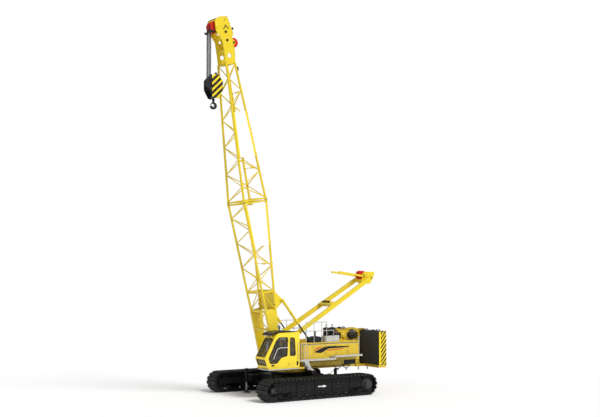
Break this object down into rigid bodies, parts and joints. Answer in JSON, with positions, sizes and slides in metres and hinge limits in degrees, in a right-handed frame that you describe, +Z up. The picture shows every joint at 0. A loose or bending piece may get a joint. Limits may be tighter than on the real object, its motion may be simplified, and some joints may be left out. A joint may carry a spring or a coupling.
{
  "type": "crawler crane",
  "caption": "Tracked crane with a lattice boom near upright, a rear mast, cab and hoods on a turntable, a wide rear counterweight, and a hook block hung from the boom head",
  "frame": {"origin": "on the slew axis at the ground, between the tracks", "axes": "+X forward, +Y to the machine's left, +Z up"},
  "size_m": [11.595, 6.67, 21.6058],
  "materials": {
    "chassis_paint": "dark grey-black gloss paint, dusty",
    "track_steel": "black painted steel shoes",
    "bright_steel": "hard chromed rod",
    "body_paint": "golden yellow gloss paint",
    "cab_paint": "bright yellow gloss paint",
    "boom_paint": "golden yellow gloss paint",
    "engine_iron": "cast iron",
    "black_paint": "black paint",
    "grey_paint": "light grey paint",
    "glass": "tinted glass",
    "seat_fabric": "dark woven seat cover",
    "slab_paint": "slate grey paint",
    "drum_paint": "dark red paint",
    "sheave_paint": "red paint",
    "sign_paint": "white paint, blank",
    "wire_rope": "greased wire rope",
    "block_paint": "yellow paint with black bands",
    "hook_iron": "black forged hook"
  },
  "bodies": {
    "undercarriage": {"carbody": "chassis_paint", "track_frame_left": "chassis_paint", "track_frame_right": "chassis_paint", "track_shoes_left": "track_steel", "track_shoes_right": "track_steel", "front_idlers": "track_steel", "drive_sprockets": "track_steel", "track_rollers": "track_steel", "jack_arms": "chassis_paint"},
    "jack_front_left": {"jack_rod_front_left": "bright_steel"},
    "jack_front_right": {"jack_rod_front_right": "bright_steel"},
    "jack_rear_left": {"jack_rod_rear_left": "bright_steel"},
    "jack_rear_right": {"jack_rod_rear_right": "bright_steel"},
    "superstructure": {"turntable_frame": "body_paint", "side_hood_left": "body_paint", "side_hood_right": "body_paint", "engine": "engine_iron", "silencer": "black_paint", "air_cleaners": "black_paint", "handrails": "grey_paint", "cab_shell": "cab_paint", "cab_glass": "glass", "operator_seat": "seat_fabric", "counterweight_tray": "body_paint", "counterweight_slabs": "slab_paint"},
    "cab_door": {"cab_door": "cab_paint", "door_glass": "glass"},
    "main_winch": {"main_winch_drum": "drum_paint"},
    "second_winch": {"second_winch_drum": "drum_paint"},
    "luffing_winch": {"luffing_winch_drum": "drum_paint"},
    "tray_legs_left": {"tray_legs_left": "grey_paint"},
    "tray_legs_right": {"tray_legs_right": "grey_paint"},
    "mast": {"mast": "boom_paint"},
    "mast_sheaves": {"mast_sheaves": "sheave_paint"},
    "boom": {"boom_foot_section": "boom_paint", "boom_head_section": "boom_paint", "boom_signs": "sign_paint"},
    "boom_head_sheaves": {"boom_head_sheaves": "sheave_paint"},
    "guide_sheave": {"guide_sheave": "sheave_paint"},
    "backstop_tubes": {"backstop_tubes": "boom_paint"},
    "backstop_rods": {"backstop_rods": "black_paint"},
    "hoist_falls": {"hoist_falls": "wire_rope"},
    "hook_block": {"hook_block": "block_paint"},
    "block_sheaves": {"block_sheaves": "black_paint"},
    "hook": {"hook": "hook_iron"}
  },
  "joints": [
    {"name": "slew", "type": "hinge", "parent": "undercarriage", "child": "superstructure", "pos_m": [0, 0, 1.303], "axis": [0, 0, 1], "continuous": true},
    {"name": "jack_front_left_stroke", "type": "slide", "parent": "undercarriage", "child": "jack_front_left", "axis": [0, 0, 1], "range_m": [-0.02, 0.4]},
    {"name": "jack_front_right_stroke", "type": "slide", "parent": "undercarriage", "child": "jack_front_right", "axis": [0, 0, 1], "range_m": [-0.02, 0.4]},
    {"name": "jack_rear_left_stroke", "type": "slide", "parent": "undercarriage", "child": "jack_rear_left", "axis": [0, 0, 1], "range_m": [-0.02, 0.4]},
    {"name": "jack_rear_right_stroke", "type": "slide", "parent": "undercarriage", "child": "jack_rear_right", "axis": [0, 0, 1], "range_m": [-0.02, 0.4]},
    {"name": "cab_door_hinge", "type": "hinge", "parent": "superstructure", "child": "cab_door", "pos_m": [1.467, 2.118, 2.6], "axis": [0, 0, 1], "range_deg": [0, 100]},
    {"name": "main_winch_spin", "type": "hinge", "parent": "superstructure", "child": "main_winch", "pos_m": [-0.9, 0, 1.965], "axis": [0, 1, 0], "continuous": true},
    {"name": "second_winch_spin", "type": "hinge", "parent": "superstructure", "child": "second_winch", "pos_m": [-3.45, 0, 3.23], "axis": [0, 1, 0], "continuous": true},
    {"name": "luffing_winch_spin", "type": "hinge", "parent": "superstructure", "child": "luffing_winch", "pos_m": [-4.72, 0, 3.23], "axis": [0, 1, 0], "continuous": true},
    {"name": "tray_legs_left_stroke", "type": "slide", "parent": "superstructure", "child": "tray_legs_left", "axis": [0, 0, 1], "range_m": [-0.6, 0]},
    {"name": "tray_legs_right_stroke", "type": "slide", "parent": "superstructure", "child": "tray_legs_right", "axis": [0, 0, 1], "range_m": [-0.6, 0]},
    {"name": "mast_raise", "type": "hinge", "parent": "superstructure", "child": "mast", "pos_m": [0.85, 0, 3.06], "axis": [0, 1, 0], "range_deg": [0, 69.6]},
    {"name": "mast_sheaves_spin", "type": "hinge", "parent": "mast", "child": "mast_sheaves", "pos_m": [-5.1, 0, 6.86], "axis": [0, 1, 0], "continuous": true},
    {"name": "boom_luff", "type": "hinge", "parent": "superstructure", "child": "boom", "pos_m": [1.4, 0, 1.95], "axis": [0, 1, 0], "range_deg": [0, 60]},
    {"name": "head_sheaves_spin", "type": "hinge", "parent": "boom", "child": "boom_head_sheaves", "pos_m": [5.25, 0, 20.97], "axis": [0, 1, 0], "continuous": true},
    {"name": "guide_sheave_spin", "type": "hinge", "parent": "boom", "child": "guide_sheave", "pos_m": [3.95, 0, 20.24], "axis": [0, 1, 0], "continuous": true},
    {"name": "backstop_swing", "type": "hinge", "parent": "boom", "child": "backstop_tubes", "pos_m": [1.2, 0, 5.44], "axis": [0, 1, 0], "range_deg": [0, 15]},
    {"name": "backstop_stroke", "type": "slide", "parent": "backstop_tubes", "child": "backstop_rods", "axis": [0.6196, 0, 0.7849], "range_m": [0, 0.35]},
    {"name": "falls_plumb", "type": "hinge", "parent": "boom", "child": "hoist_falls", "pos_m": [5.25, 0, 20.97], "axis": [0, 1, 0], "range_deg": [-60, 0]},
    {"name": "hoist", "type": "slide", "parent": "hoist_falls", "child": "hook_block", "axis": [0, 0, 1], "range_m": [0, 1.8], "deforming": ["hoist_falls"]},
    {"name": "block_sheaves_spin", "type": "hinge", "parent": "hook_block", "child": "block_sheaves", "pos_m": [5.25, 0, 17.75], "axis": [0, 1, 0], "continuous": true},
    {"name": "hook_swivel", "type": "hinge", "parent": "hook_block", "child": "hook", "pos_m": [5.25, 0, 16.9], "axis": [0, 0, 1], "continuous": true}
  ],
  "couplings": [
    {"joint": "falls_plumb", "follows": "boom_luff", "ratio": -1},
    {"joint": "mast_raise", "follows": "boom_luff", "ratio": 1.16}
  ]
}
